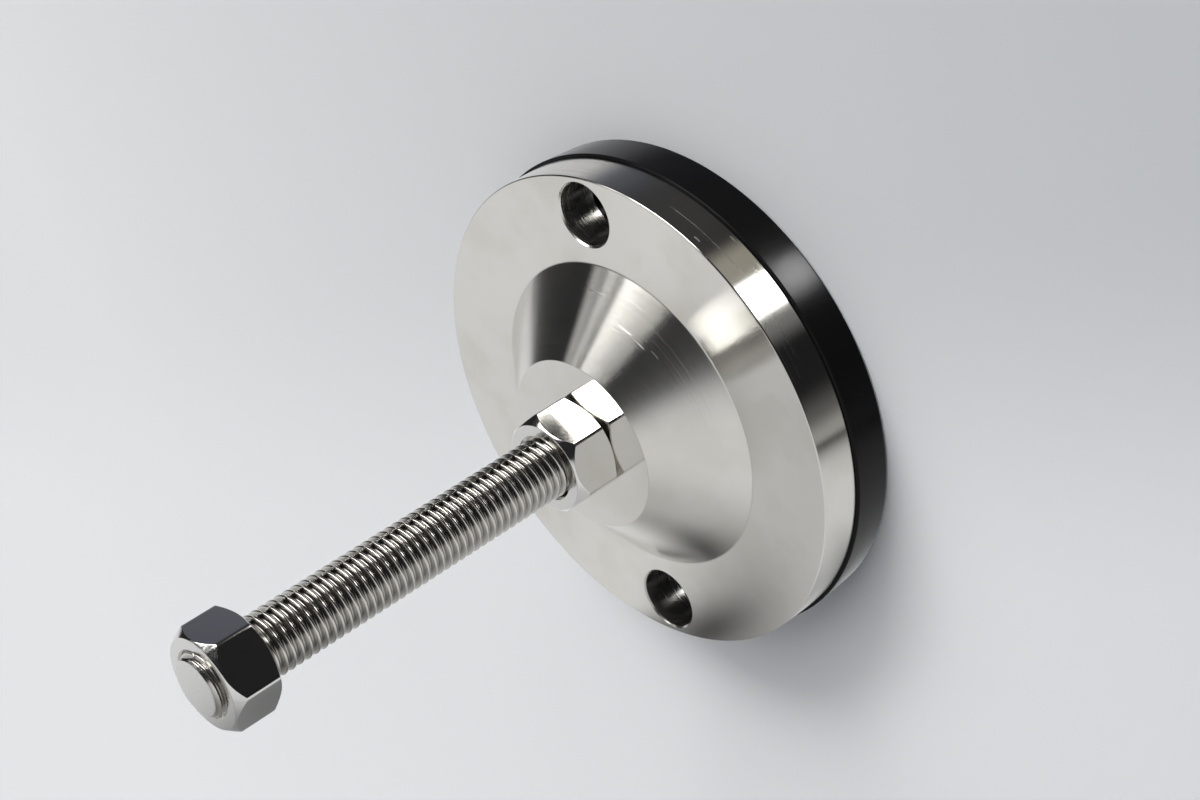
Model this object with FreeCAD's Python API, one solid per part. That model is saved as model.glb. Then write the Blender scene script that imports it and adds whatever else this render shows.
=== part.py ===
import FreeCAD, Part
import math
import os

# Adjustable leveling foot, standing on its rubber pad.
# All sizes are millimetres. +Z runs up the stem, and the origin is the middle of the pad's underside.
# The two anchor holes lie on the X axis.

# Rubber pad, glued under the steel base
PAD_THICKNESS = 8.6
PAD_OVERHANG = 0.65
PAD_DRAFT = 0.5
PAD_FOOT_ROUND = 0.6
PAD_TOP_EDGE_BREAK = 0.35
PAD_HOLE_CLEARANCE = 0.25

# Flange of the steel base, with its two anchor holes
FLANGE_DIAMETER = 97.4
FLANGE_THICKNESS = 8.4
FLANGE_EDGE_BREAK = 0.3
ANCHOR_HOLE_DIAMETER = 12.5
ANCHOR_HOLE_RIM_WALL = 1.15
ANCHOR_HOLE_EDGE_BREAK = 0.3

# Cone and flat hub face above the flange
CONE_FOOT_DIAMETER = 63.1
CONE_FOOT_FILLET = 0.8
HUB_FACE_DIAMETER = 34.4
HUB_HEIGHT = 12.1
HUB_EDGE_BREAK = 0.25

# Stem: an M12 threaded rod, drawn at the thread's major diameter
STEM_DIAMETER = 12.0
STEM_LENGTH = 109.0
STEM_FOOT_GAP = 0.7
STEM_END_CHAMFER_WIDTH = 0.75
STEM_END_CHAMFER_LENGTH = 0.9

# Threaded holes in the hub and in the nuts, at the same major diameter with a running clearance
THREAD_CLEARANCE = 0.05
THREAD_MOUTH_WIDTH = 0.55

# Hexagon nuts of the M12 size
NUT_ACROSS_FLATS = 17.75
NUT_HEIGHT = 9.7
NUT_CORNER_ROUND = 0.8
NUT_SEAT_INSET = 0.35
NUT_SEAT_CHAMFER_ANGLE = 30.0
NUT_CROWN_INSET = 0.2
NUT_CROWN_CHAMFER_ANGLE = 52.0
STEM_PROTRUSION = 1.5

# Angles from +X at which a corner of each nut stands
LOWER_NUT_ANGLE = 6.0
UPPER_NUT_ANGLE = 27.0

# Heights worked out from the sizes above
FLANGE_UNDERSIDE_Z = PAD_THICKNESS
FLANGE_FACE_Z = FLANGE_UNDERSIDE_Z + FLANGE_THICKNESS
HUB_FACE_Z = FLANGE_FACE_Z + HUB_HEIGHT
STEM_FOOT_Z = FLANGE_UNDERSIDE_Z + STEM_FOOT_GAP
STEM_TOP_Z = STEM_FOOT_Z + STEM_LENGTH
LOWER_NUT_Z = HUB_FACE_Z
UPPER_NUT_Z = STEM_TOP_Z - STEM_PROTRUSION - NUT_HEIGHT

# Radii worked out from the sizes above
FLANGE_RADIUS = FLANGE_DIAMETER / 2
ANCHOR_HOLE_RADIUS = ANCHOR_HOLE_DIAMETER / 2
ANCHOR_CIRCLE_RADIUS = FLANGE_RADIUS - ANCHOR_HOLE_RIM_WALL - ANCHOR_HOLE_RADIUS
STEM_RADIUS = STEM_DIAMETER / 2
THREAD_HOLE_RADIUS = STEM_RADIUS + THREAD_CLEARANCE

AXIS_FOOT = FreeCAD.Vector(0, 0, 0)
UP = FreeCAD.Vector(0, 0, 1)

# How near two sizes must be to count as the same when an edge is looked for
SAME_SIZE = 0.0001


def turned(outline):
    """Solid of revolution about Z from (radius, height) corners."""
    corners = [FreeCAD.Vector(radius, 0, height) for radius, height in outline]
    profile = Part.Face(Part.makePolygon(corners + corners[:1]))
    return profile.revolve(AXIS_FOOT, UP, 360)


def circle_edges(solid, radius, height):
    """Edges of a turned solid that are circles of this radius at this height."""
    found = []
    for edge in solid.Edges:
        curve = edge.Curve
        if not isinstance(curve, Part.Circle):
            continue
        if abs(curve.Radius - radius) < SAME_SIZE and abs(curve.Center.z - height) < SAME_SIZE:
            found.append(edge)
    return found


def hole_cutter(radius, low, high, mouth_width, mouth_depth):
    """Round cutter for a through hole whose two mouths open out by mouth_width."""
    wide = radius + 2 * mouth_width
    return turned([
        (0, low - mouth_depth),
        (wide, low - mouth_depth),
        (radius, low + mouth_depth),
        (radius, high - mouth_depth),
        (wide, high + mouth_depth),
        (0, high + mouth_depth),
    ])


def threaded_hole(low, high):
    """Cutter for a threaded hole, with the thread's 45 degree mouth at each end."""
    return hole_cutter(THREAD_HOLE_RADIUS, low, high, THREAD_MOUTH_WIDTH, THREAD_MOUTH_WIDTH)


def at_anchor_holes(cutter):
    """The same cutter at both anchor holes."""
    return [cutter.translated(FreeCAD.Vector(side * ANCHOR_CIRCLE_RADIUS, 0, 0)) for side in (-1, 1)]


def base_plate():
    """Flange, cone and hub, turned as one piece of steel."""
    hub_radius = HUB_FACE_DIAMETER / 2
    rim = FLANGE_RADIUS - FLANGE_EDGE_BREAK
    body = turned([
        (0, FLANGE_UNDERSIDE_Z),
        (rim, FLANGE_UNDERSIDE_Z),
        (FLANGE_RADIUS, FLANGE_UNDERSIDE_Z + FLANGE_EDGE_BREAK),
        (FLANGE_RADIUS, FLANGE_FACE_Z - FLANGE_EDGE_BREAK),
        (rim, FLANGE_FACE_Z),
        (CONE_FOOT_DIAMETER / 2, FLANGE_FACE_Z),
        (hub_radius, HUB_FACE_Z),
        (0, HUB_FACE_Z),
    ])
    body = body.makeFillet(CONE_FOOT_FILLET, circle_edges(body, CONE_FOOT_DIAMETER / 2, FLANGE_FACE_Z))
    body = body.makeChamfer(HUB_EDGE_BREAK, circle_edges(body, hub_radius, HUB_FACE_Z))
    anchor_hole = hole_cutter(
        ANCHOR_HOLE_RADIUS, FLANGE_UNDERSIDE_Z, FLANGE_FACE_Z, ANCHOR_HOLE_EDGE_BREAK, ANCHOR_HOLE_EDGE_BREAK)
    return body.cut([threaded_hole(FLANGE_UNDERSIDE_Z, HUB_FACE_Z)] + at_anchor_holes(anchor_hole))


def rubber_pad():
    """Moulded disc with a slight draft, a rounded foot, a broken top edge and the two anchor holes."""
    top_radius = FLANGE_RADIUS + PAD_OVERHANG
    foot_radius = top_radius - PAD_DRAFT
    disc = turned([
        (0, 0),
        (foot_radius, 0),
        (top_radius, PAD_THICKNESS),
        (0, PAD_THICKNESS),
    ])
    disc = disc.makeFillet(PAD_FOOT_ROUND, circle_edges(disc, foot_radius, 0))
    disc = disc.makeChamfer(PAD_TOP_EDGE_BREAK, circle_edges(disc, top_radius, PAD_THICKNESS))
    hole = Part.makeCylinder(ANCHOR_HOLE_RADIUS + PAD_HOLE_CLEARANCE, PAD_THICKNESS)
    return disc.cut(at_anchor_holes(hole))


def threaded_stem():
    """Rod with a chamfer at each end. It screws into the hub and stops just above the pad."""
    end_radius = STEM_RADIUS - STEM_END_CHAMFER_WIDTH
    return turned([
        (0, STEM_FOOT_Z),
        (end_radius, STEM_FOOT_Z),
        (STEM_RADIUS, STEM_FOOT_Z + STEM_END_CHAMFER_LENGTH),
        (STEM_RADIUS, STEM_TOP_Z - STEM_END_CHAMFER_LENGTH),
        (end_radius, STEM_TOP_Z),
        (0, STEM_TOP_Z),
    ])


def hexagon_prism(across_flats, low, height, corner_round):
    """Hexagonal bar stood on end, a corner on +X, with its six long edges rounded."""
    corner = across_flats / 2 / math.cos(math.pi / 6)
    angles = [math.radians(60 * side) for side in range(6)]
    corners = [FreeCAD.Vector(corner * math.cos(a), corner * math.sin(a), low) for a in angles]
    prism = Part.Face(Part.makePolygon(corners + corners[:1])).extrude(FreeCAD.Vector(0, 0, height))
    long_edges = [edge for edge in prism.Edges if edge.BoundBox.ZLength > height / 2]
    return prism.makeFillet(corner_round, long_edges)


def hexagon_nut(low, corner_angle):
    """Nut with a shallow chamfer on its seat, a steeper crown on top and a threaded hole."""
    high = low + NUT_HEIGHT
    corner = NUT_ACROSS_FLATS / 2 / math.cos(math.pi / 6)
    seat_radius = NUT_ACROSS_FLATS / 2 - NUT_SEAT_INSET
    crown_radius = NUT_ACROSS_FLATS / 2 - NUT_CROWN_INSET
    seat_rise = (corner - seat_radius) * math.tan(math.radians(NUT_SEAT_CHAMFER_ANGLE))
    crown_drop = (corner - crown_radius) * math.tan(math.radians(NUT_CROWN_CHAMFER_ANGLE))
    chamfered_bar = turned([
        (0, low),
        (seat_radius, low),
        (corner, low + seat_rise),
        (corner, high - crown_drop),
        (crown_radius, high),
        (0, high),
    ])
    nut = hexagon_prism(NUT_ACROSS_FLATS, low, NUT_HEIGHT, NUT_CORNER_ROUND)
    nut.rotate(AXIS_FOOT, UP, corner_angle)
    return nut.common(chamfered_bar).cut(threaded_hole(low, high))


parts = {
    "base_plate": base_plate(),
    "rubber_pad": rubber_pad(),
    "threaded_stem": threaded_stem(),
    "lower_nut": hexagon_nut(LOWER_NUT_Z, LOWER_NUT_ANGLE),
    "upper_nut": hexagon_nut(UPPER_NUT_Z, UPPER_NUT_ANGLE),
}

os.makedirs("parts", exist_ok=True)
for name, shape in parts.items():
    if len(shape.Solids) != 1 or not shape.isValid():
        raise RuntimeError(name + " isn't one valid solid")
    shape.Solids[0].exportStep("parts/" + name + ".step")
    box = shape.BoundBox
    print(name, "volume", round(shape.Volume, 1), "from z", round(box.ZMin, 2), "to", round(box.ZMax, 2))
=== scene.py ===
import math

import bmesh
import bpy
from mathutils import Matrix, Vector
from mathutils.geometry import delaunay_2d_cdt


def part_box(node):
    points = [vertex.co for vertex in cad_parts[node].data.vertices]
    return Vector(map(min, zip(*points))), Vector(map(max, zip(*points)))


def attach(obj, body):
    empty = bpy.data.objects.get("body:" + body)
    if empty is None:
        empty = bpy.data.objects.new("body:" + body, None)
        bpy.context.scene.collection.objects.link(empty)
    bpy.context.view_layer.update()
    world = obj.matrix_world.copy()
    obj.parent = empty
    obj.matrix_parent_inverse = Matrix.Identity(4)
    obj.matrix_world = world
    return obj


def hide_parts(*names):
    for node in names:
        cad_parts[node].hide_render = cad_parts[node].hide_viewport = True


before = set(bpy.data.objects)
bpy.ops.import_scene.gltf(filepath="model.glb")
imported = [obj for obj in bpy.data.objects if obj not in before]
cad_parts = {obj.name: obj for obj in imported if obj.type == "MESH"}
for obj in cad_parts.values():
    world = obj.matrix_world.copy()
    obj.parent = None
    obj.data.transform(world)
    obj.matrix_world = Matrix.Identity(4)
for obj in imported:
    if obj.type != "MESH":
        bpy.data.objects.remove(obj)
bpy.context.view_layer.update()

# Everything is in metres. MM writes a size in millimetres,
# and PER_MM turns metres into millimetres in a material.
MM = 0.001
PER_MM = 1000.0

# Places and sizes that the frame gives
PAD_LOW, PAD_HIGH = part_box("rubber_pad")
STEEL_LOW, STEEL_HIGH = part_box("base_plate")
STEM_LOW, STEM_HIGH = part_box("threaded_stem")
HUB_FACE_Z = STEEL_HIGH.z
FLANGE_RADIUS = STEEL_HIGH.x
STEM_RADIUS = STEM_HIGH.x

# Sizes of the steel base, as in the construction
FLANGE_THICKNESS = 8.4 * MM
FLANGE_FACE_Z = STEEL_LOW.z + FLANGE_THICKNESS
EDGE_BREAK = 0.3 * MM
CONE_FOOT_RADIUS = 31.55 * MM
CONE_FOOT_FILLET = 0.8 * MM
HUB_RADIUS = 17.2 * MM
HUB_EDGE_BREAK = 0.25 * MM
ANCHOR_HOLE_RADIUS = 6.25 * MM
ANCHOR_HOLE_RIM_WALL = 1.15 * MM
ANCHOR_CIRCLE_RADIUS = FLANGE_RADIUS - ANCHOR_HOLE_RIM_WALL - ANCHOR_HOLE_RADIUS

# Sizes of the rubber pad, as in the construction, with a round in place of the break on its top edge
PAD_DRAFT = 0.5 * MM
PAD_FOOT_ROUND = 0.6 * MM
PAD_EDGE_ROUND = 0.35 * MM
PAD_HOLE_CLEARANCE = 0.25 * MM

# The M12 thread. THREAD_START is the height of the crest over the +X axis, within one pitch.
PITCH = 1.75 * MM
THREAD_START = 0.95 * MM
THREAD_ANGLE = 60
CREST_ROUND = 0.33 * MM
ROOT_ROUND = 0.29 * MM
FLANK_SLOPE = math.tan(math.radians(THREAD_ANGLE / 2))
ROOT_RADIUS = STEM_RADIUS - (PITCH / 2 / FLANK_SLOPE - CREST_ROUND - ROOT_ROUND)
HOLE_THREAD_CLEARANCE = 0.05 * MM
HOLE_CREST_RADIUS = ROOT_RADIUS + HOLE_THREAD_CLEARANCE
HOLE_THREAD_ROUND = 0.10 * MM
MOUTH_WIDTH = 0.55 * MM
STEM_CHAMFER_WIDTH = 0.75 * MM
STEM_CHAMFER_LENGTH = 0.9 * MM
STEM_END_ROUND = 0.25 * MM
# Near its ends the thread is built of level rows, END_ROW apart, so that the chamfers can cut it
END_ZONE = 1.3 * MM
END_ROW = 0.04 * MM

# Hexagon nuts
NUT_FLAT_RADIUS = 8.875 * MM
NUT_CORNER_ROUND = 0.8 * MM
NUT_SEAT_INSET = 0.35 * MM
NUT_SEAT_RADIUS = NUT_FLAT_RADIUS - NUT_SEAT_INSET
NUT_SEAT_SLOPE = math.tan(math.radians(30))
NUT_CROWN_INSET = 0.2 * MM
NUT_CROWN_RADIUS = NUT_FLAT_RADIUS - NUT_CROWN_INSET
NUT_CROWN_SLOPE = math.tan(math.radians(52))
NUT_EDGE_ROUND = 0.25 * MM
NUT_ANGLES = {"lower_nut": 6.0, "upper_nut": 27.0}

# How finely the pieces are meshed: points round a circle, and steps in a rounded corner
RIM_POINTS = 360
ANCHOR_HOLE_POINTS = 96
THREADED_HOLE_POINTS = 120
STEM_POINTS = 72
NUT_CORNER_STEPS = 4
NUT_FLAT_STEPS = 16
EDGE_STEPS = 6
CONE_STEPS = 8
NUT_EDGE_STEPS = 3
THREAD_ROUND_STEPS = 4
HOLE_THREAD_ROUND_STEPS = 2

# A rounded outline starts and ends this far along its flat faces, and those two points are then left out
FLAT_RUN = 4 * MM

# Edges that bend by more than this many degrees look sharp
BASE_SHARP_ANGLE = 28
STEM_SHARP_ANGLE = 40
NUT_SHARP_ANGLE = 32
PAD_SHARP_ANGLE = 28


# Camera, at the picture's viewing angle

CAMERA_PLACE = Vector((198.95, -306.29, 263.47)) * MM
CAMERA_ANGLES = (-38.470, 44.966, -106.153)
CAMERA_LENS = 70.33
CAMERA_SENSOR = 36.0


def make_camera():
    bpy.context.scene.view_settings.view_transform = "Standard"
    data = bpy.data.cameras.new("camera")
    data.sensor_width = CAMERA_SENSOR
    data.lens = CAMERA_LENS
    camera = bpy.data.objects.new("camera", data)
    camera.location = CAMERA_PLACE
    camera.rotation_euler = [math.radians(a) for a in CAMERA_ANGLES]
    bpy.context.scene.collection.objects.link(camera)
    bpy.context.scene.camera = camera


# Nodes

class Nodes:
    """A node tree, filled by adding nodes whose inputs are given by name or place."""

    def __init__(self, tree):
        self.tree = tree
        tree.nodes.clear()

    def add(self, kind, inputs=None, **settings):
        node = self.tree.nodes.new("ShaderNode" + kind)
        for name, value in settings.items():
            setattr(node, name, value)
        for name, value in (inputs or {}).items():
            if isinstance(value, bpy.types.NodeSocket):
                self.tree.links.new(value, node.inputs[name])
            else:
                node.inputs[name].default_value = value
        return node

    def math(self, operation, *values):
        return self.add("Math", dict(enumerate(values)), operation=operation).outputs[0]

    def dot(self, vector, axis):
        return self.add("VectorMath", {0: vector, 1: axis}, operation="DOT_PRODUCT").outputs["Value"]

    def step(self, value, start, end, low=0.0, high=1.0):
        """Smooth step from low to high as value goes from start to end."""
        inputs = {0: value, 1: start, 2: end, 3: low, 4: high}
        return self.add("MapRange", inputs, interpolation_type="SMOOTHSTEP").outputs[0]

    def line(self, value, start, end, low=0.0, high=1.0):
        """Straight ramp from low to high as value goes from start to end."""
        return self.add("MapRange", {0: value, 1: start, 2: end, 3: low, 4: high}).outputs[0]

    def mix(self, factor, first, second):
        """Colour between first and second."""
        inputs = {0: factor, 6: first, 7: second}
        return self.add("Mix", inputs, data_type="RGBA", clamp_factor=True).outputs[2]

    def noise(self, vector, scale, detail=2.0, roughness=0.5):
        inputs = {"Vector": vector, "Scale": scale, "Detail": detail, "Roughness": roughness}
        return self.add("TexNoise", inputs).outputs["Fac"]

    def noise_along(self, value, scale, detail=2.0):
        """Noise that changes only with one value."""
        inputs = {"W": value, "Scale": scale, "Detail": detail}
        return self.add("TexNoise", inputs, noise_dimensions="1D").outputs["Fac"]

    def place(self):
        """The point on the piece, in millimetres, as a vector."""
        point = self.add("TexCoord").outputs["Object"]
        return self.add("VectorMath", {0: point, "Scale": PER_MM}, operation="SCALE").outputs["Vector"]

    def radius(self, parts):
        """Distance from the axis of a point given by its separate parts."""
        squares = [self.math("POWER", parts.outputs[name], 2.0) for name in "XY"]
        return self.math("SQRT", self.math("ADD", *squares))

    def bump(self, height, depth, normal=None):
        """Normal of a surface whose height goes from 0 to depth as the given height goes from 0 to 1."""
        inputs = {"Height": height, "Distance": depth, "Strength": 1.0}
        if normal is not None:
            inputs["Normal"] = normal
        return self.add("Bump", inputs).outputs["Normal"]


def grey(level):
    return (level, level, level, 1.0)


def shaded(colour, level):
    return tuple(level * c for c in colour[:3]) + (1.0,)


def new_material(name):
    """A material and its empty node tree."""
    material = bpy.data.materials.new(name)
    material.use_nodes = True
    return material, Nodes(material.node_tree)


# Studio. Two directions describe it: up from the bench that the foot lay on, and towards the camera.

STUDIO_UP = (0.935, -0.049, -0.352)
STUDIO_NEAR = (0.215, -0.705, 0.673)

# BENCH is the bench card's glow: painted light for the lit bench seen in reflections.
BENCH = (0.855, 0.863, 0.877, 1.0)
BENCH_GLOW = (0.52, 0.53, 0.55, 1.0)
BACKDROP = (0.74, 0.75, 0.77, 1.0)
ROOM = (0.016, 0.016, 0.017, 1.0)
CEILING = (0.042, 0.042, 0.044, 1.0)
BACK_GLOW = (0.105, 0.112, 0.140, 1.0)
LEFT_WALL = (0.42, 0.41, 0.38, 1.0)
SOFT_BOX = (13.0, 13.0, 13.0, 1.0)
SIDE_PANEL = (0.44, 0.42, 0.37, 1.0)
LIGHT_HALO = (0.27, 0.27, 0.27, 1.0)
NEAR_WALL = (0.50, 0.50, 0.50, 1.0)
FAR_WALL = (0.17, 0.17, 0.17, 1.0)
THIN_LIGHT = (1.5, 1.5, 1.5, 1.0)
EDGE_LIGHT = (6.0, 6.0, 6.0, 1.0)
RIGHT_LIGHT = (9.0, 9.0, 9.0, 1.0)
SEEN_BY_CAMERA = (0.62, 0.63, 0.65, 1.0)

# Where each part of the room starts and is full, by how far a direction points up or near
BACKDROP_NEAR = (-0.64, -0.84)
BACKDROP_UP = (0.70, 0.48)
BACK_GLOW_NEAR = (-0.50, -0.68)
BACK_GLOW_UP = (0.35, 0.60)
WALL_CHANGE_UP = (-0.03, 0.10)
CEILING_UP = (0.55, 0.85)
BENCH_GLOW_UP = (-0.03, -0.25)

# Lights and walls, as azimuth, elevation, half width, half height, soft edge, lean and tone. The first five
# are in degrees. Each covers those before it, and the one without a tone is the wall from near to far.
STUDIO_PATCHES = (
    (62.0, 62.0, 13.0, 8.0, 5.0, 0.0, LEFT_WALL),
    (5.8, 30.0, 16.4, 8.5, 2.6, 0.48, SOFT_BOX),
    (51.5, 36.0, 1.3, 12.0, 1.3, 0.0, THIN_LIGHT),
    (33.0, 25.0, 6.0, 6.0, 2.0, 0.0, EDGE_LIGHT),
    (249.0, -34.0, 11.0, 16.0, 6.0, 0.0, None),
    (303.0, -40.0, 5.0, 12.0, 4.5, 0.0, LIGHT_HALO),
    (333.0, -38.0, 6.5, 16.0, 4.0, 0.0, SIDE_PANEL),
    (316.5, -43.0, 6.2, 9.0, 0.8, 0.0, RIGHT_LIGHT))

# Window light: azimuth and elevation, spread in degrees, and strength
WINDOW_DIRECTION = (-8.0, 42.0)
WINDOW_SPREAD = 50
WINDOW_STRENGTH = 1.8


def towards(azimuth, elevation):
    """Direction of length 1, from angles in degrees."""
    a, e = math.radians(azimuth), math.radians(elevation)
    return Vector((math.cos(a) * math.cos(e), math.sin(a) * math.cos(e), math.sin(e)))


def patch(nodes, direction, azimuth, elevation, half_width, half_height, soft, lean):
    """1 inside a rectangle of the sky and 0 outside it.

    Its middle, half sizes and soft edge are in degrees, and lean is how far its top is pushed sideways.
    """
    a = math.radians(azimuth)
    middle = towards(azimuth, elevation)
    across = Vector((-math.sin(a), math.cos(a), 0.0))
    upward = middle.cross(across)
    ahead = nodes.dot(direction, middle)
    # Nothing in the sky's other half
    inside = nodes.step(ahead, 0.0, 0.1)
    for axis, half in ((across - upward * lean, half_width), (upward, half_height)):
        offset = nodes.math("ABSOLUTE", nodes.math("DIVIDE", nodes.dot(direction, axis), ahead))
        edge = nodes.step(offset, math.tan(math.radians(half + soft)), math.tan(math.radians(half - soft)))
        inside = nodes.math("MULTIPLY", inside, edge)
    return inside


def make_world():
    world = bpy.data.worlds.new("studio")
    bpy.context.scene.world = world
    world.use_nodes = True
    nodes = Nodes(world.node_tree)
    direction = nodes.add("TexCoord").outputs["Generated"]
    up = nodes.dot(direction, STUDIO_UP)
    near = nodes.dot(direction, STUDIO_NEAR)
    is_behind = nodes.math("MULTIPLY", nodes.step(near, *BACKDROP_NEAR), nodes.step(up, *BACKDROP_UP))
    is_glow = nodes.math("MULTIPLY", nodes.step(near, *BACK_GLOW_NEAR), nodes.step(up, *BACK_GLOW_UP))
    wall_tone = nodes.mix(nodes.step(up, *WALL_CHANGE_UP), NEAR_WALL, FAR_WALL)
    colour = nodes.mix(nodes.step(up, *CEILING_UP), ROOM, CEILING)
    colour = nodes.mix(is_glow, colour, BACK_GLOW)
    colour = nodes.mix(is_behind, colour, BACKDROP)
    colour = nodes.mix(nodes.step(up, *BENCH_GLOW_UP), colour, BENCH_GLOW)
    for *place, tone in STUDIO_PATCHES:
        colour = nodes.mix(patch(nodes, direction, *place), colour, wall_tone if tone is None else tone)
    seen = nodes.mix(nodes.add("LightPath").outputs["Is Camera Ray"], colour, SEEN_BY_CAMERA)
    background = nodes.add("Background", {"Color": seen, "Strength": 1.0})
    nodes.add("OutputWorld", {"Surface": background.outputs[0]})


def make_lamp():
    """Soft daylight from a window. The steel shows the studio's lights in its place."""
    sun = bpy.data.lights.new("window", "SUN")
    sun.angle = math.radians(WINDOW_SPREAD)
    sun.energy = WINDOW_STRENGTH
    window = bpy.data.objects.new("window", sun)
    out = towards(*WINDOW_DIRECTION)
    window.location = out
    window.rotation_euler = out.to_track_quat("Z", "Y").to_euler()
    window.visible_glossy = False
    bpy.context.scene.collection.objects.link(window)


SQUARE = ((-1, -1), (1, -1), (1, 1), (-1, 1))


def plane(name, corners):
    mesh = bpy.data.meshes.new(name)
    mesh.from_pydata(corners, [], [(0, 1, 2, 3)])
    obj = bpy.data.objects.new(name, mesh)
    bpy.context.scene.collection.objects.link(obj)
    return obj


# The floor's tone follows a soft bend: paler below it in the picture, greyer above it, and darker along it
# towards one end.
# That greyer, darker tone is painted shade for light falling off towards the backdrop. Far from the foot,
# between the two distances of FLOOR_FADE, it fades into what the camera sees behind it.
FLOOR_HALF_SIZE = 3.0
FLOOR_GAP = 0.05 * MM
FLOOR_FADE = (1.2, 2.8)
FLOOR_BEND_ACROSS = (0.973, 0.229, 0.0)
FLOOR_BEND_ALONG = (0.229, -0.973, 0.0)
FLOOR_BEND_FROM = -0.045
FLOOR_BEND_TO = 0.030
PALE_RAMP = (-0.32, 0.11)
GREY_RAMP = (-0.24, 0.13)
PALE_LEFT = (0.715, 0.721, 0.730, 1.0)
PALE_RIGHT = (0.615, 0.624, 0.638, 1.0)
GREY_LEFT = (0.670, 0.676, 0.684, 1.0)
GREY_RIGHT = (0.465, 0.475, 0.490, 1.0)


def make_floor():
    corners = [(x * FLOOR_HALF_SIZE, y * FLOOR_HALF_SIZE, -FLOOR_GAP) for x, y in SQUARE]
    floor = plane("floor", corners)
    floor.visible_glossy = False
    material, nodes = new_material("floor")
    point = nodes.add("TexCoord").outputs["Object"]
    across = nodes.dot(point, FLOOR_BEND_ACROSS)
    along = nodes.dot(point, FLOOR_BEND_ALONG)
    # Painted shade: the grey side and the darker end stand in for less light towards the backdrop.
    pale = nodes.mix(nodes.line(along, *PALE_RAMP), PALE_LEFT, PALE_RIGHT)
    dim = nodes.mix(nodes.line(along, *GREY_RAMP), GREY_LEFT, GREY_RIGHT)
    colour = nodes.mix(nodes.step(across, FLOOR_BEND_FROM, FLOOR_BEND_TO), pale, dim)
    shader = nodes.add("BsdfDiffuse", {"Color": colour})
    far = nodes.add("Emission", {"Color": SEEN_BY_CAMERA, "Strength": 1.0})
    distance = nodes.add("VectorMath", {0: point}, operation="LENGTH").outputs["Value"]
    faded = nodes.add("MixShader", {
        0: nodes.step(distance, *FLOOR_FADE), 1: shader.outputs[0], 2: far.outputs[0]})
    nodes.add("OutputMaterial", {"Surface": faded.outputs[0]})
    floor.data.materials.append(material)


# The bench that the foot lay on shows only in reflections. It touches the flange's edge on the -X side.
# It is a glowing card: its glow is painted light standing in for the lit bench, and it dims slightly past
# BENCH_NEAR_FALLOFF. Its far ends fade to the room between the two places of each BENCH_EDGE. The foot's
# shadow on it is painted as soft dark spots, each with its place (near, right) of BENCH_MIDDLE, half sizes,
# turn in degrees and depth. All of these lengths but the half size are in millimetres.
BENCH_DISTANCE = 45.5 * MM
BENCH_MIDDLE = Vector((0.0, 0.0, FLANGE_FACE_Z)) - Vector(STUDIO_UP).normalized() * BENCH_DISTANCE
BENCH_HALF_SIZE = 1.0
BENCH_NEAR_FALLOFF = (130.0, 180.0)
BENCH_NEAR_LEVEL = 0.93
BENCH_EDGE_NEAR = (120.0, 680.0)
BENCH_EDGE_LEFT = (-150.0, -880.0)
BENCH_EDGE_RIGHT = (150.0, 750.0)
BENCH_SHADES = (
    ((-3.3, 16.5), (6.8, 4.0), -10.0, 0.78),
    ((-21.8, 9.8), (14.2, 3.0), 11.0, 0.74),
    ((-21.0, 56.5), (26.0, 3.3), 65.0, 0.75),
    ((12.0, -45.0), (13.4, 31.5), -29.0, 0.17),
    ((39.0, -17.0), (60.0, 10.0), -66.0, 0.24),
    ((-0.3, 30.0), (29.0, 9.7), -76.0, 0.62),
    ((60.0, -49.0), (26.0, 8.0), -44.0, 0.72))


def soft_spot(nodes, near, right, middle, size, turn):
    """1 at the middle of an oval spot, falling off to 0 round it. turn goes from near towards right."""
    a = nodes.math("SUBTRACT", near, middle[0])
    b = nodes.math("SUBTRACT", right, middle[1])
    c, s = math.cos(math.radians(turn)), math.sin(math.radians(turn))
    along = nodes.math("ADD", nodes.math("MULTIPLY", a, c), nodes.math("MULTIPLY", b, s))
    across = nodes.math("SUBTRACT", nodes.math("MULTIPLY", b, c), nodes.math("MULTIPLY", a, s))
    a = nodes.math("DIVIDE", along, size[0])
    b = nodes.math("DIVIDE", across, size[1])
    square = nodes.math("ADD", nodes.math("MULTIPLY", a, a), nodes.math("MULTIPLY", b, b))
    return nodes.math("EXPONENT", nodes.math("MULTIPLY", square, -0.5))


def make_bench():
    up = Vector(STUDIO_UP).normalized()
    near_axis = Vector(STUDIO_NEAR)
    near_axis = (near_axis - up * near_axis.dot(up)).normalized()
    right_axis = up.cross(near_axis)
    s = BENCH_HALF_SIZE
    bench = plane("bench", [BENCH_MIDDLE + near_axis * a * s + right_axis * b * s for a, b in SQUARE])
    bench.visible_camera = False
    bench.visible_diffuse = False
    bench.visible_shadow = False
    material, nodes = new_material("bench")
    point = nodes.add("VectorMath", {
        0: nodes.place(), 1: BENCH_MIDDLE * PER_MM}, operation="SUBTRACT").outputs["Vector"]
    near = nodes.dot(point, near_axis)
    right = nodes.dot(point, right_axis)
    # Painted light and shadow: the card's glow stands in for the lit bench, and the spots darken it as painted
    # shadow.
    level = nodes.step(near, *BENCH_NEAR_FALLOFF, 1.0, BENCH_NEAR_LEVEL)
    for middle, size, turn, depth in BENCH_SHADES:
        spot = soft_spot(nodes, near, right, middle, size, turn)
        level = nodes.math("MULTIPLY", level, nodes.line(spot, 0.0, 1.0, 1.0, 1.0 - depth))
    edge = nodes.step(near, *BENCH_EDGE_NEAR, 1.0, 0.0)
    for side in (BENCH_EDGE_LEFT, BENCH_EDGE_RIGHT):
        edge = nodes.math("MULTIPLY", edge, nodes.step(right, *side, 1.0, 0.0))
    colour = nodes.mix(edge, ROOM, BENCH)
    light = nodes.add("Emission", {"Color": colour, "Strength": level})
    nodes.add("OutputMaterial", {"Surface": light.outputs[0]})
    bench.data.materials.append(material)


# Materials of the foot

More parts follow.
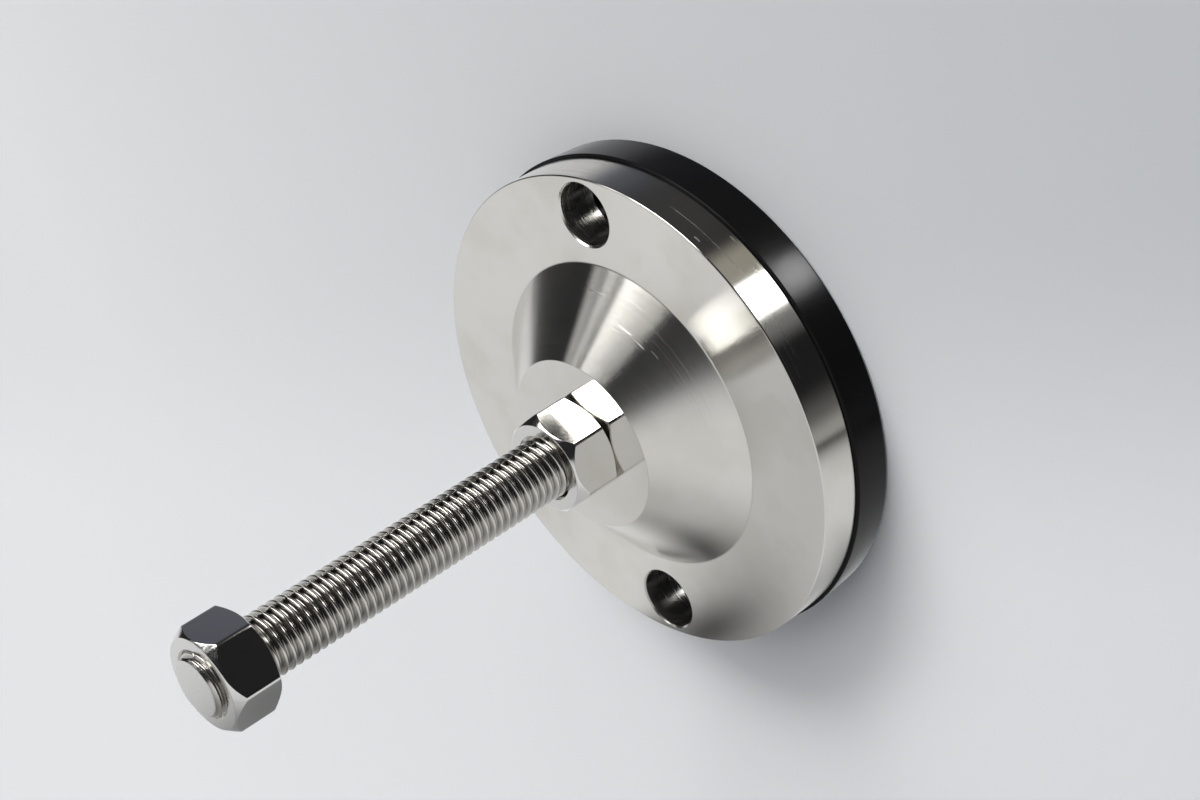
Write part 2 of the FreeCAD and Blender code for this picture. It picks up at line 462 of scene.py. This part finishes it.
STEEL = (0.70, 0.685, 0.645, 1.0)
STEEL_WORN = (0.66, 0.64, 0.59, 1.0)
THREAD_STEEL = (0.61, 0.592, 0.552, 1.0)
NUT_STEEL = (0.72, 0.71, 0.69, 1.0)
RUBBER = (0.006, 0.006, 0.0065, 1.0)
RUBBER_DUST = (0.05, 0.05, 0.048, 1.0)

# Lengths in the materials are in millimetres. Each noise is given by its scale, its detail and, for some,
# its roughness. Each range says where on a noise something starts and where it is full.

# Turned steel. The quarter turn lays the stretched highlight across the grooves.
TANGENT_TURN = 0.25
FINE_GROOVES = (5.0, 3.0)
COARSE_GROOVES = (0.9, 2.0)
COARSE_SHARE = 1.6
STEEL_CLOUD = (0.07, 3.0)
STEEL_GRAIN = (2.2, 2.0)
GRAIN_SHARE = 0.25
WORN_RANGE = (0.42, 0.66)
NOISE_MIDDLE = (0.3, 0.7)
GROOVE_ROUGHNESS = 0.02
CLOUD_ROUGHNESS = 0.012
MARK_ROUGHNESS = 0.25
SCRATCH_RINGS = (2.6, 0.0)
SCRATCH_RING_RANGE = (0.68, 0.74)
SCRATCH_LENGTHS = (0.09, 1.0)
SCRATCH_LENGTH_RANGE = (0.52, 0.60)
ARC_END = 0.7

# Scratches at their places over the grooves, first angle, last angle and width, the angles in degrees
RIM_ARCS = (
    (13.35, -46.5, -22.0, 0.10),
    (13.60, -66.0, -52.5, 0.10),
    (15.35, -34.6, -32.8, 0.30),
    (9.70, -38.8, -36.8, 0.30))
CONE_ARCS = (
    (27.90, -10.0, 0.0, 0.12),
    (25.30, -30.0, -22.0, 0.10),
    (25.10, -38.0, -33.0, 0.10),
    (25.70, -45.0, -40.0, 0.10))

# Bright steel. The thread's roots get painted shade: the colour darkens from the first to the second of the
# root shade radii, where shade falls in the grooves.
STEEL_WAVES = (0.35, 2.0)
STEEL_DOTS = (4.0, 3.0, 0.6)
DOT_ROUGH_RANGE = (0.35, 0.7, -0.02, 0.05)
DOT_RANGE = (0.55, 0.75)
DOT_SHADE = 0.9
PAINTED_ROOT_SHADE_RADII = (5.85, 5.35)

# Rubber, with one rubbed place. From there the shine falls between the two RUBBED_DISTANCES.
RUBBER_CLOUD = (0.12, 3.0)
RUBBER_GRAIN = (3.0, 3.0, 0.6)
RUBBER_GRAIN_DEPTH = 0.008
DUST = (1.4, 4.0, 0.7)
DUST_RANGE = (0.62, 0.78)
DUST_SHARE = 0.2
RUBBER_ROUGHNESS = (0.16, 0.24)
RUBBED_PLACE = (31.5, -37.5, 5.0)
RUBBED_DISTANCES = (1.0, 9.0)
RUBBED_SHINE = (0.36, 0.075)


def arc_mark(nodes, over, angle, at, start, end, width):
    """1 on one scratch round the axis, from one angle to another in degrees, and 0 off it."""
    line = nodes.step(nodes.math("ABSOLUTE", nodes.math("SUBTRACT", over, at)), width, 0.0)
    away = nodes.math("ABSOLUTE", nodes.math("SUBTRACT", angle, math.radians(0.5 * (start + end))))
    half = math.radians(0.5 * (end - start))
    return nodes.math("MULTIPLY", line, nodes.step(away, half, ARC_END * half))


def ring_scratches(nodes, over, point):
    """Short bright arcs round the axis: thin rings, each broken into a few lengths."""
    rings = nodes.step(nodes.noise_along(over, *SCRATCH_RINGS), *SCRATCH_RING_RANGE)
    lengths = nodes.step(nodes.noise(point, *SCRATCH_LENGTHS), *SCRATCH_LENGTH_RANGE)
    return nodes.math("MULTIPLY", rings, lengths)


def turned_steel(name, across, shade, roughness, anisotropy, groove_depth, scratch, arcs=()):
    """Steel turned on a lathe.

    across names what runs over the grooves: the radius or the height. scratch is how plain the random
    scratches are, and arcs are the scratches with known places.
    """
    material, nodes = new_material(name)
    point = nodes.place()
    parts = nodes.add("SeparateXYZ", {0: point})
    over = nodes.radius(parts) if across == "radius" else parts.outputs["Z"]
    fine = nodes.noise_along(over, *FINE_GROOVES)
    coarse = nodes.noise_along(over, *COARSE_GROOVES)
    grooves = nodes.math("ADD", fine, nodes.math("MULTIPLY", coarse, COARSE_SHARE))
    cloud = nodes.noise(point, *STEEL_CLOUD)
    grain = nodes.noise(point, *STEEL_GRAIN)
    marks = nodes.math("MULTIPLY", ring_scratches(nodes, over, point), scratch)
    angle = nodes.math("ARCTAN2", parts.outputs["Y"], parts.outputs["X"])
    for arc in arcs:
        marks = nodes.math("MAXIMUM", marks, arc_mark(nodes, over, angle, *arc))
    tint = nodes.mix(nodes.step(cloud, *WORN_RANGE), shaded(STEEL, shade), shaded(STEEL_WORN, shade))
    rough = nodes.math(
        "ADD", roughness, nodes.line(fine, *NOISE_MIDDLE, -GROOVE_ROUGHNESS, GROOVE_ROUGHNESS))
    rough = nodes.math(
        "ADD", rough, nodes.line(cloud, *NOISE_MIDDLE, -CLOUD_ROUGHNESS, CLOUD_ROUGHNESS))
    rough = nodes.math("ADD", rough, nodes.math("MULTIPLY", marks, MARK_ROUGHNESS))
    height = nodes.math("SUBTRACT", grooves, marks)
    normal = nodes.bump(height, groove_depth * MM)
    normal = nodes.bump(grain, groove_depth * GRAIN_SHARE * MM, normal)
    tangent = nodes.add("Tangent", direction_type="RADIAL", axis="Z").outputs[0]
    shader = nodes.add("BsdfPrincipled", {
        "Base Color": tint, "Metallic": 1.0, "Roughness": rough, "Anisotropic": anisotropy,
        "Anisotropic Rotation": TANGENT_TURN, "Normal": normal, "Tangent": tangent})
    nodes.add("OutputMaterial", {"Surface": shader.outputs[0]})
    return material


def bright_steel(name, colour, roughness, dimple, speckle, painted_root_shade=1.0):
    """Bright cold-formed steel: long shallow waves of depth dimple, and fine speckles of depth speckle.

    The last argument is what the thread's roots keep of their colour, as painted shade in the grooves.
    """
    material, nodes = new_material(name)
    point = nodes.place()
    waves = nodes.noise(point, *STEEL_WAVES)
    dots = nodes.noise(point, *STEEL_DOTS)
    rough = nodes.math("ADD", roughness, nodes.line(dots, *DOT_ROUGH_RANGE))
    normal = nodes.bump(waves, dimple * MM)
    normal = nodes.bump(dots, speckle * MM, normal)
    speckles_and_painted_root_shade = nodes.mix(nodes.step(dots, *DOT_RANGE), colour, shaded(colour, DOT_SHADE))
    # Painted shade: the colour darkens towards the axis, in the thread's roots, where shade falls in the
    # grooves.
    radius = nodes.radius(nodes.add("SeparateXYZ", {0: point}))
    in_painted_root_shade = nodes.step(radius, *PAINTED_ROOT_SHADE_RADII)
    speckles_and_painted_root_shade = nodes.mix(nodes.math("MULTIPLY", in_painted_root_shade, 1.0 - painted_root_shade), speckles_and_painted_root_shade, grey(0.0))
    shader = nodes.add("BsdfPrincipled", {
        "Base Color": speckles_and_painted_root_shade, "Metallic": 1.0, "Roughness": rough, "Normal": normal})
    nodes.add("OutputMaterial", {"Surface": shader.outputs[0]})
    return material


def black_rubber():
    material, nodes = new_material("pad_rubber")
    point = nodes.place()
    cloud = nodes.noise(point, *RUBBER_CLOUD)
    grain = nodes.noise(point, *RUBBER_GRAIN)
    dust = nodes.step(nodes.noise(point, *DUST), *DUST_RANGE)
    colour = nodes.mix(nodes.math("MULTIPLY", dust, DUST_SHARE), RUBBER, RUBBER_DUST)
    rough = nodes.line(cloud, *NOISE_MIDDLE, *RUBBER_ROUGHNESS)
    normal = nodes.bump(grain, RUBBER_GRAIN_DEPTH * MM)
    from_rubbed = nodes.add("VectorMath", {0: point, 1: RUBBED_PLACE}, operation="DISTANCE")
    shine = nodes.step(from_rubbed.outputs["Value"], *RUBBED_DISTANCES, *RUBBED_SHINE)
    shader = nodes.add("BsdfPrincipled", {
        "Base Color": colour, "Roughness": rough, "Normal": normal, "Specular IOR Level": shine})
    nodes.add("OutputMaterial", {"Surface": shader.outputs[0]})
    return material


# Mesh building. The tolerances are in metres, but STRAIGHT_BEND is an angle and INSIDE_REACH a share.

MERGE_DISTANCE = 1e-7
SHORTEST_EDGE = 1e-8
FLAT_TOLERANCE = 1e-9
INSIDE_REACH = 0.9999
STRAIGHT_BEND = 1e-3
LONGEST_ROUND_SHARE = 0.45


def around(count):
    """Angles all round, evenly spaced."""
    return [2 * math.pi * i / count for i in range(count)]


class Shell:
    """A mesh in the making: rings of points, the quads between them, and flat faces between rings."""

    def __init__(self):
        self.points = []
        self.faces = []
        self.slots = []

    def ring(self, places):
        first = len(self.points)
        self.points += [tuple(p) for p in places]
        return list(range(first, len(self.points)))

    def circle(self, radius, height, count, centre=(0.0, 0.0)):
        x, y = centre
        return self.ring([(x + radius * math.cos(a), y + radius * math.sin(a), height) for a in around(count)])

    def band(self, lower, upper, slot=0, inward=False):
        """Quads between two rings with as many points. They face outwards if upper lies above lower."""
        n = len(lower)
        for i in range(n):
            j = (i + 1) % n
            face = (lower[i], lower[j], upper[j], upper[i])
            self.faces.append(face[::-1] if inward else face)
            self.slots.append(slot)

    def bands(self, rings, slot=0, inward=False):
        for lower, upper in zip(rings, rings[1:]):
            self.band(lower, upper, slot, inward)

    def flat(self, outer, holes, slot=0, up=True):
        """Flat face between an outer ring and rings inside it."""
        loops = [outer] + holes
        ids = [i for loop in loops for i in loop]
        flat_points = [Vector(self.points[i][:2]) for i in ids]
        edges = []
        first = 0
        for loop in loops:
            edges += [(first + k, first + (k + 1) % len(loop)) for k in range(len(loop))]
            first += len(loop)
        # An output type of 1 gives the triangles inside the loops, those of the holes too
        found = delaunay_2d_cdt(flat_points, edges, [], 1, FLAT_TOLERANCE)
        back = [ids[sources[0]] for sources in found[3]]
        shapes = [[Vector(self.points[i][:2]) for i in loop] for loop in holes]
        for triangle in found[2]:
            corners = [found[0][i] for i in triangle]
            middle = sum(corners, Vector((0.0, 0.0))) / 3
            if any(inside(middle, shape) for shape in shapes):
                continue
            turn = (corners[1] - corners[0]).cross(corners[2] - corners[0])
            ordered = triangle if (turn > 0) == up else triangle[::-1]
            self.faces.append(tuple(back[i] for i in ordered))
            self.slots.append(slot)

    def build(self, name, materials, sharp_angle):
        mesh = bpy.data.meshes.new(name)
        mesh.from_pydata(self.points, [], self.faces)
        for material in materials:
            mesh.materials.append(material)
        mesh.polygons.foreach_set("material_index", self.slots)
        work = bmesh.new()
        work.from_mesh(mesh)
        bmesh.ops.remove_doubles(work, verts=work.verts, dist=MERGE_DISTANCE)
        bmesh.ops.dissolve_degenerate(work, edges=work.edges, dist=SHORTEST_EDGE)
        loose = [v for v in work.verts if not v.link_faces]
        bmesh.ops.delete(work, geom=loose, context="VERTS")
        for face in work.faces:
            face.smooth = True
        for edge in work.edges:
            edge.smooth = not edge.is_manifold or edge.calc_face_angle(0.0) < math.radians(sharp_angle)
        work.to_mesh(mesh)
        work.free()
        mesh.update()
        obj = bpy.data.objects.new(name, mesh)
        bpy.context.scene.collection.objects.link(obj)
        weighted = obj.modifiers.new("weighted_normals", "WEIGHTED_NORMAL")
        weighted.keep_sharp = True
        return obj


def inside(point, shape):
    """Whether a point lies inside a round shape, told from the shape's middle and its farthest corner."""
    middle = sum(shape, Vector((0.0, 0.0))) / len(shape)
    reach = max((corner - middle).length for corner in shape)
    return (point - middle).length < reach * INSIDE_REACH


def rounded(corners, steps):
    """Outline through (across, along, radius) corners, with an arc wherever the radius isn't 0."""
    outline = []
    last = len(corners) - 1
    for i, (x, y, radius) in enumerate(corners):
        here = Vector((x, y))
        if radius <= 0 or i in (0, last):
            outline.append(here)
            continue
        before = Vector(corners[i - 1][:2]) - here
        after = Vector(corners[i + 1][:2]) - here
        bend = math.pi - before.angle(after)
        if bend < STRAIGHT_BEND:
            outline.append(here)
            continue
        limit = LONGEST_ROUND_SHARE * min(before.length, after.length)
        reach = min(radius * math.tan(bend / 2), limit)
        radius = reach / math.tan(bend / 2)
        start = here + before.normalized() * reach
        end = here + after.normalized() * reach
        bisector = (before.normalized() + after.normalized()).normalized()
        centre = here + bisector * (radius / math.cos(bend / 2))
        for k in range(steps + 1):
            point = start.lerp(end, k / steps) - centre
            outline.append(centre + point.normalized() * radius)
    return outline


# Thread

def crest_height(angle):
    """Height of the stem's crest over this angle, within one pitch."""
    return THREAD_START + PITCH * angle / (2 * math.pi)


def thread_profile(crest, root, crest_round, root_round, steps):
    """Half a thread, from the middle of its crest to the middle of its root.

    Its points are (radius, distance along the axis). Crest and root are arcs that run into a straight flank.
    """
    flank = 90 - THREAD_ANGLE / 2
    turns = [math.radians(flank * k / steps) for k in range(steps + 1)]
    outward = 1 if crest > root else -1
    half = []
    for t in turns:
        half.append((crest - outward * crest_round * (1 - math.cos(t)), crest_round * math.sin(t)))
    for t in reversed(turns):
        half.append((root + outward * root_round * (1 - math.cos(t)), PITCH / 2 - root_round * math.sin(t)))
    return half


def profile_radius(half, angle, height):
    """Radius of a thread at this angle and height, between the profile's points."""
    turn = (height - crest_height(angle)) / PITCH
    offset = abs(turn - round(turn)) * PITCH
    for (r0, s0), (r1, s1) in zip(half, half[1:]):
        if offset <= s1:
            return r0 + (r1 - r0) * (offset - s0) / (s1 - s0)
    return half[-1][0]


def add_thread(shell, half, angles, low, high, slot, inward):
    """Adds the thread's surface between two heights. Its rows follow the thread, cut off level at the ends."""
    profile = [(r, -s) for r, s in half[:0:-1]] + half[:-1]
    turns = range(int(low / PITCH) - 2, int(high / PITCH) + 3)
    columns = []
    for angle in angles:
        places = []
        for turn in turns:
            for radius, offset in profile:
                height = crest_height(angle) + turn * PITCH + offset
                if not low < height < high:
                    height = min(max(height, low), high)
                    radius = profile_radius(half, angle, height)
                places.append((radius * math.cos(angle), radius * math.sin(angle), height))
        columns.append(shell.ring(places))
    for i, column in enumerate(columns):
        following = columns[(i + 1) % len(columns)]
        shift = len(profile) if i == len(columns) - 1 else 0
        for k in range(len(column) - 1 - shift):
            face = (column[k + shift], following[k], following[k + 1], column[k + 1 + shift])
            heights = {shell.points[p][2] for p in face}
            if heights == {low} or heights == {high}:
                continue
            shell.faces.append(face[::-1] if inward else face)
            shell.slots.append(slot)


def rows_between(low, high):
    """Heights from low to high, close together."""
    count = max(1, round((high - low) / END_ROW))
    return [low + (high - low) * k / count for k in range(count + 1)]


def add_rows(shell, half, angles, heights, limit, slot, inward):
    """Adds the thread's surface in level rows, cut by limit(radius, height). Gives its first and last ring."""
    rings = []
    for z in heights:
        radii = [limit(profile_radius(half, a, z), z) for a in angles]
        rings.append(shell.ring([(r * math.cos(a), r * math.sin(a), z) for r, a in zip(radii, angles)]))
    shell.bands(rings, slot, inward)
    return rings[0], rings[-1]


def outline_radius(outline, height):
    """Radius of an outline, given as points of (radius, height) that go up, at this height."""
    for p, q in zip(outline, outline[1:]):
        if height <= q.y:
            return p.x + (q.x - p.x) * (height - p.y) / (q.y - p.y)
    return outline[-1].x


def add_threaded_hole(shell, angles, low, high, slot):
    """Adds a threaded hole with a mouth at each end. Gives the rings at its two ends."""
    groove = STEM_RADIUS + HOLE_THREAD_CLEARANCE
    half = thread_profile(
        groove, HOLE_CREST_RADIUS, HOLE_THREAD_ROUND, HOLE_THREAD_ROUND, HOLE_THREAD_ROUND_STEPS)
    mouth = groove + MOUTH_WIDTH
    zone = MOUTH_WIDTH + groove - HOLE_CREST_RADIUS

    def opened(radius, height):
        from_end = min(height - low, high - height)
        return max(radius, mouth - from_end)

    first, _ = add_rows(shell, half, angles, rows_between(low, low + zone), opened, slot, True)
    add_thread(shell, half, angles, low + zone, high - zone, slot, True)
    _, last = add_rows(shell, half, angles, rows_between(high - zone, high), opened, slot, True)
    return first, last


# Pieces

def make_base(materials):
    """Flange, cone and hub, with the two anchor holes and the threaded hole."""
    flange, cone, hub, rim, hole, thread = range(6)
    shell = Shell()
    low, face = STEEL_LOW.z, FLANGE_FACE_Z
    edge = rounded([
        (FLANGE_RADIUS - FLAT_RUN, low, 0.0),
        (FLANGE_RADIUS, low, EDGE_BREAK),
        (FLANGE_RADIUS, face, EDGE_BREAK),
        (FLANGE_RADIUS - FLAT_RUN, face, 0.0)], EDGE_STEPS)[1:-1]
    rings = [shell.circle(p.x, p.y, RIM_POINTS) for p in edge]
    shell.bands(rings, rim)
    underside, outer = rings[0], rings[-1]
    slope = rounded([
        (CONE_FOOT_RADIUS + FLAT_RUN, face, 0.0),
        (CONE_FOOT_RADIUS, face, CONE_FOOT_FILLET),
        (HUB_RADIUS, HUB_FACE_Z, HUB_EDGE_BREAK),
        (HUB_RADIUS - FLAT_RUN, HUB_FACE_Z, 0.0)], CONE_STEPS)[1:-1]
    cone_rings = [shell.circle(p.x, p.y, RIM_POINTS) for p in slope]
    shell.bands(cone_rings, cone)
    mouths = {}
    for side in (-1, 1):
        centre = (side * ANCHOR_CIRCLE_RADIUS, 0.0)
        wall = [shell.circle(ANCHOR_HOLE_RADIUS + wider, z, ANCHOR_HOLE_POINTS, centre) for wider, z in (
            (EDGE_BREAK, low), (0.0, low + EDGE_BREAK), (0.0, face - EDGE_BREAK), (EDGE_BREAK, face))]
        shell.bands(wall, hole, inward=True)
        mouths[side] = (wall[0], wall[-1])
    low_mouth, top_mouth = add_threaded_hole(
        shell, around(THREADED_HOLE_POINTS), low, HUB_FACE_Z, thread)
    shell.flat(cone_rings[-1], [top_mouth], hub)
    shell.flat(outer, [cone_rings[0], mouths[-1][1], mouths[1][1]], flange)
    shell.flat(underside, [low_mouth, mouths[-1][0], mouths[1][0]], flange, up=False)
    base = shell.build("steel_base", materials, BASE_SHARP_ANGLE)
    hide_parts("base_plate")
    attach(base, "base")


def make_stem(thread, end):
    """Threaded rod with a chamfer at each end."""
    shell = Shell()
    angles = around(STEM_POINTS)
    half = thread_profile(STEM_RADIUS, ROOT_RADIUS, CREST_ROUND, ROOT_ROUND, THREAD_ROUND_STEPS)
    low, high = STEM_LOW.z, STEM_HIGH.z
    end_radius = STEM_RADIUS - STEM_CHAMFER_WIDTH
    top = rounded([
        (STEM_RADIUS + MM, high - STEM_CHAMFER_LENGTH - MM * STEM_CHAMFER_LENGTH / STEM_CHAMFER_WIDTH, 0.0),
        (end_radius, high, STEM_END_ROUND),
        (0.0, high, 0.0)], EDGE_STEPS)[:-1]
    bottom = [Vector((p.x, low + high - p.y)) for p in reversed(top)]
    rounding = [p.y for p in top[2:]]
    top_heights = rows_between(high - END_ZONE, top[1].y)
    low_heights = [low + high - z for z in reversed(top_heights)]

    def below_top(radius, height):
        return min(radius, outline_radius(top, height))

    def above_bottom(radius, height):
        return min(radius, outline_radius(bottom, height))

    add_thread(shell, half, angles, low + END_ZONE, high - END_ZONE, 0, False)
    add_rows(shell, half, angles, top_heights, below_top, 0, False)
    _, top_ring = add_rows(shell, half, angles, top_heights[-1:] + rounding, below_top, 1, False)
    add_rows(shell, half, angles, low_heights, above_bottom, 0, False)
    low_rounding = [low + high - z for z in reversed(top_heights[-1:] + rounding)]
    low_ring, _ = add_rows(shell, half, angles, low_rounding, above_bottom, 1, False)
    shell.flat(top_ring, [], 1)
    shell.flat(low_ring, [], 1, up=False)
    stem = shell.build("threaded_rod", [thread, end], STEM_SHARP_ANGLE)
    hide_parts("threaded_stem")
    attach(stem, "stem")


def hexagon_reach(angle, corner_angle):
    """Distance from the axis to the hexagon's side at this angle, its corners rounded."""
    turn = (angle - corner_angle + math.pi / 6) % (math.pi / 3) - math.pi / 6
    from_flat = math.pi / 6 - abs(turn)
    flat = NUT_FLAT_RADIUS / math.cos(from_flat)
    centre = (NUT_FLAT_RADIUS - NUT_CORNER_ROUND) / math.cos(math.pi / 6)
    touch = math.atan2(centre * math.sin(math.pi / 6), NUT_FLAT_RADIUS)
    if from_flat < touch:
        return flat
    half_turn = centre * math.cos(turn)
    return half_turn + math.sqrt(NUT_CORNER_ROUND ** 2 - (centre * math.sin(turn)) ** 2)


def hexagon_angles(corner_angle):
    """Angles round a nut, close together at its rounded corners."""
    centre = (NUT_FLAT_RADIUS - NUT_CORNER_ROUND) / math.cos(math.pi / 6)
    touch = math.pi / 6 - math.atan2(centre * math.sin(math.pi / 6), NUT_FLAT_RADIUS)
    offsets = [touch * k / NUT_CORNER_STEPS for k in range(-NUT_CORNER_STEPS, NUT_CORNER_STEPS)]
    span = math.pi / 3 - 2 * touch
    offsets += [touch + span * k / NUT_FLAT_STEPS for k in range(NUT_FLAT_STEPS)]
    return [corner_angle + side * math.pi / 3 + offset for side in range(6) for offset in offsets]


def make_nut(node, material, thread):
    """Hexagon nut with a shallow chamfer on its seat, a steeper crown on top and a threaded hole."""
    low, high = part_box(node)[0].z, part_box(node)[1].z
    corner_angle = math.radians(NUT_ANGLES[node])
    angles = hexagon_angles(corner_angle)
    mouth_radius = STEM_RADIUS + HOLE_THREAD_CLEARANCE + MOUTH_WIDTH
    shell = Shell()
    sections = []
    for angle in angles:
        reach = hexagon_reach(angle, corner_angle)
        seat_z = low + (reach - NUT_SEAT_RADIUS) * NUT_SEAT_SLOPE
        crown_z = high - (reach - NUT_CROWN_RADIUS) * NUT_CROWN_SLOPE
        middle = 0.5 * (seat_z + crown_z)
        section = rounded([
            (mouth_radius, low, 0.0),
            (NUT_SEAT_RADIUS, low, NUT_EDGE_ROUND),
            (reach, seat_z, NUT_EDGE_ROUND),
            (reach, middle, 0.0),
            (reach, crown_z, NUT_EDGE_ROUND),
            (NUT_CROWN_RADIUS, high, NUT_EDGE_ROUND),
            (mouth_radius, high, 0.0)], NUT_EDGE_STEPS)
        sections.append([(p.x * math.cos(angle), p.x * math.sin(angle), p.y) for p in section])
    rings = [shell.ring([section[k] for section in sections]) for k in range(len(sections[0]))]
    shell.bands(rings, 0)
    add_threaded_hole(shell, angles, low, high, 1)
    nut = shell.build(node + "_steel", [material, thread], NUT_SHARP_ANGLE)
    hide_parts(node)
    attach(nut, node)


def make_pad(material):
    """Moulded rubber disc with a slight draft, rounded edges and the two anchor holes."""
    shell = Shell()
    low, high = PAD_LOW.z, PAD_HIGH.z
    top_radius = PAD_HIGH.x
    foot_radius = top_radius - PAD_DRAFT
    outline = rounded([
        (foot_radius - FLAT_RUN, low, 0.0),
        (foot_radius, low, PAD_FOOT_ROUND),
        (top_radius, high, PAD_EDGE_ROUND),
        (top_radius - FLAT_RUN, high, 0.0)], EDGE_STEPS)[1:-1]
    rings = [shell.circle(p.x, p.y, RIM_POINTS) for p in outline]
    shell.bands(rings)
    walls = []
    for side in (-1, 1):
        centre = (side * ANCHOR_CIRCLE_RADIUS, 0.0)
        radius = ANCHOR_HOLE_RADIUS + PAD_HOLE_CLEARANCE
        wall = [shell.circle(radius, z, ANCHOR_HOLE_POINTS, centre) for z in (low, high)]
        shell.bands(wall, inward=True)
        walls.append(wall)
    shell.flat(rings[-1], [wall[1] for wall in walls])
    shell.flat(rings[0], [wall[0] for wall in walls], up=False)
    pad = shell.build("moulded_pad", [material], PAD_SHARP_ANGLE)
    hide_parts("rubber_pad")
    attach(pad, "base")


make_camera()
make_world()
make_lamp()
make_floor()
make_bench()

flange_steel = turned_steel(
    "flange_steel", across="radius", shade=1.0, roughness=0.21, anisotropy=0.98,
    groove_depth=0.0008, scratch=0.12)
cone_steel = turned_steel(
    "cone_steel", across="radius", shade=0.96, roughness=0.18, anisotropy=0.96,
    groove_depth=0.0010, scratch=0.10, arcs=CONE_ARCS)
hub_steel = turned_steel(
    "hub_steel", across="radius", shade=0.98, roughness=0.09, anisotropy=0.3,
    groove_depth=0.0003, scratch=0.2)
rim_steel = turned_steel(
    "rim_steel", across="height", shade=0.90, roughness=0.16, anisotropy=0.85,
    groove_depth=0.0008, scratch=0.5, arcs=RIM_ARCS)
hole_steel = turned_steel(
    "hole_steel", across="height", shade=1.0, roughness=0.22, anisotropy=0.3,
    groove_depth=0.002, scratch=0.3)
thread_steel = bright_steel(
    "thread_steel", THREAD_STEEL, roughness=0.17, dimple=0.004, speckle=0.0012, painted_root_shade=0.66)
nut_steel = bright_steel("nut_steel", NUT_STEEL, roughness=0.13, dimple=0.006, speckle=0.0045)
end_steel = bright_steel("end_steel", NUT_STEEL, roughness=0.28, dimple=0.004, speckle=0.002)

make_base([flange_steel, cone_steel, hub_steel, rim_steel, hole_steel, thread_steel])
make_stem(thread_steel, end_steel)
make_nut("lower_nut", nut_steel, thread_steel)
make_nut("upper_nut", nut_steel, thread_steel)
make_pad(black_rubber())
